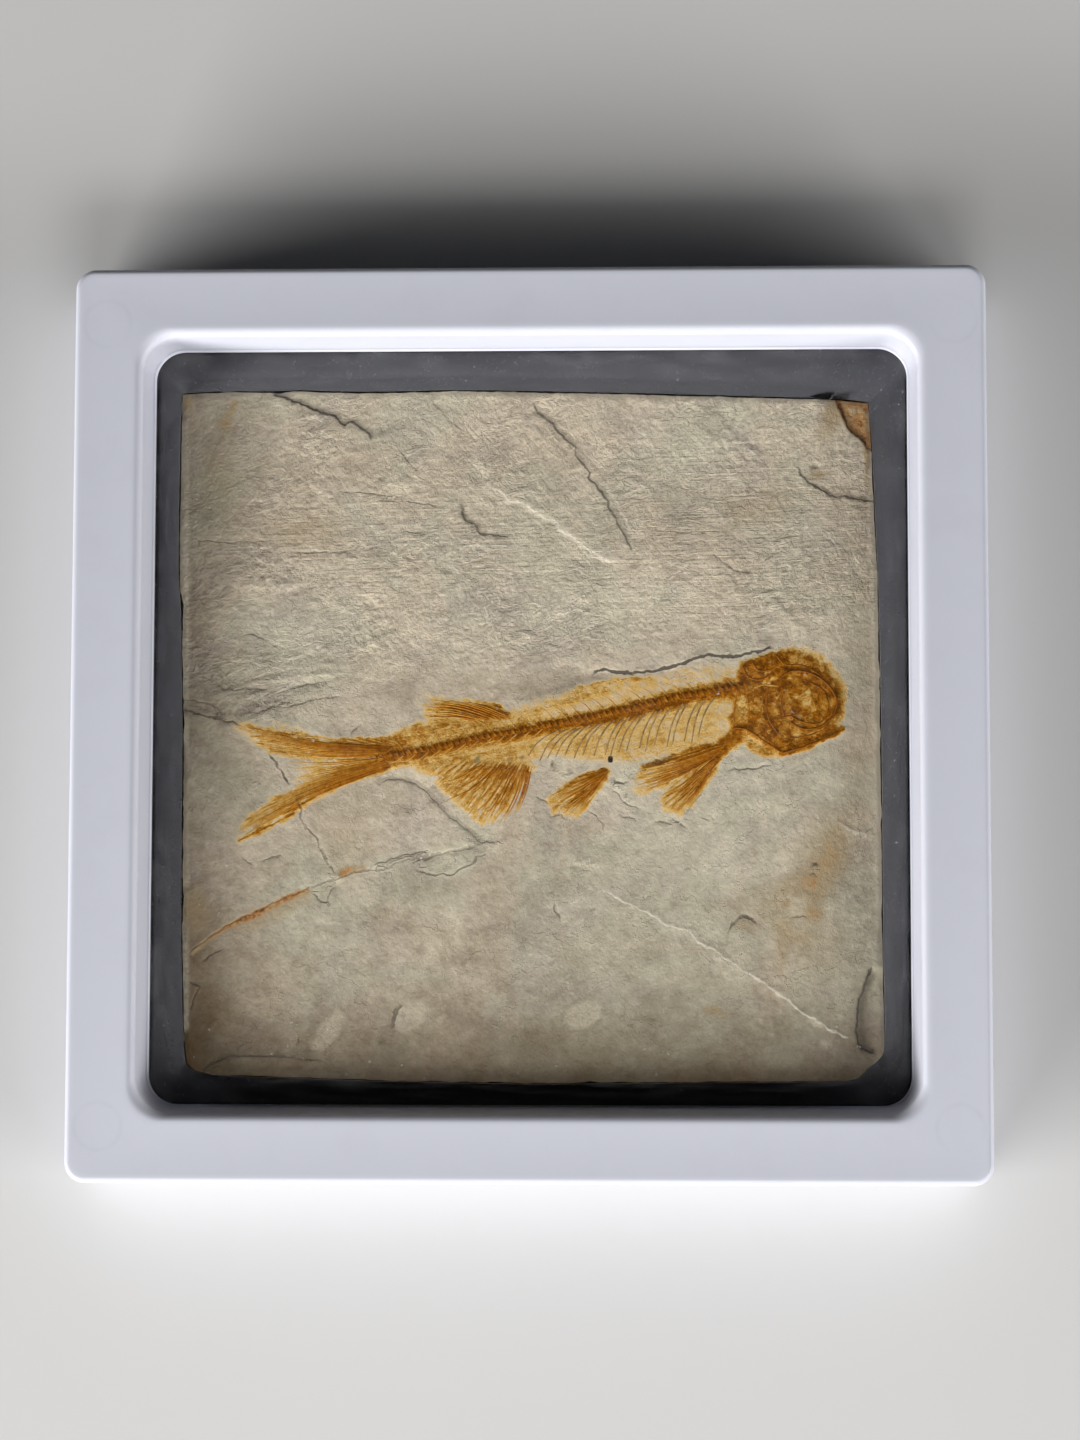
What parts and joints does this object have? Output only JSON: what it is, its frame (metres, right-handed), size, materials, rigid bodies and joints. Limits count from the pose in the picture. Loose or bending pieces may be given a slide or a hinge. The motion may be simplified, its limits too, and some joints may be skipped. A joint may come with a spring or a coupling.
{
  "type": "fossil fish slab in a floating film display frame",
  "caption": "Slender fossil fish on a pale shale slab, held between stretched films in a square white display frame.",
  "frame": {"origin": "centre of the frame's back face, on the surface that it lies on", "axes": "+Z out of the face that shows the fish, +X across the frame towards the fish's head, +Y up the frame"},
  "size_m": [0.18, 0.18, 0.02],
  "materials": {
    "white_plastic": "satin moulded",
    "clear_film": "clear stretched film",
    "dark_film": "dark stretched film",
    "shale": "split shale with a brown fossil"
  },
  "bodies": {
    "root": {"frame_front": "white_plastic", "frame_back": "white_plastic", "film_front": "clear_film", "film_back": "dark_film", "slab": "shale"}
  },
  "joints": []
}
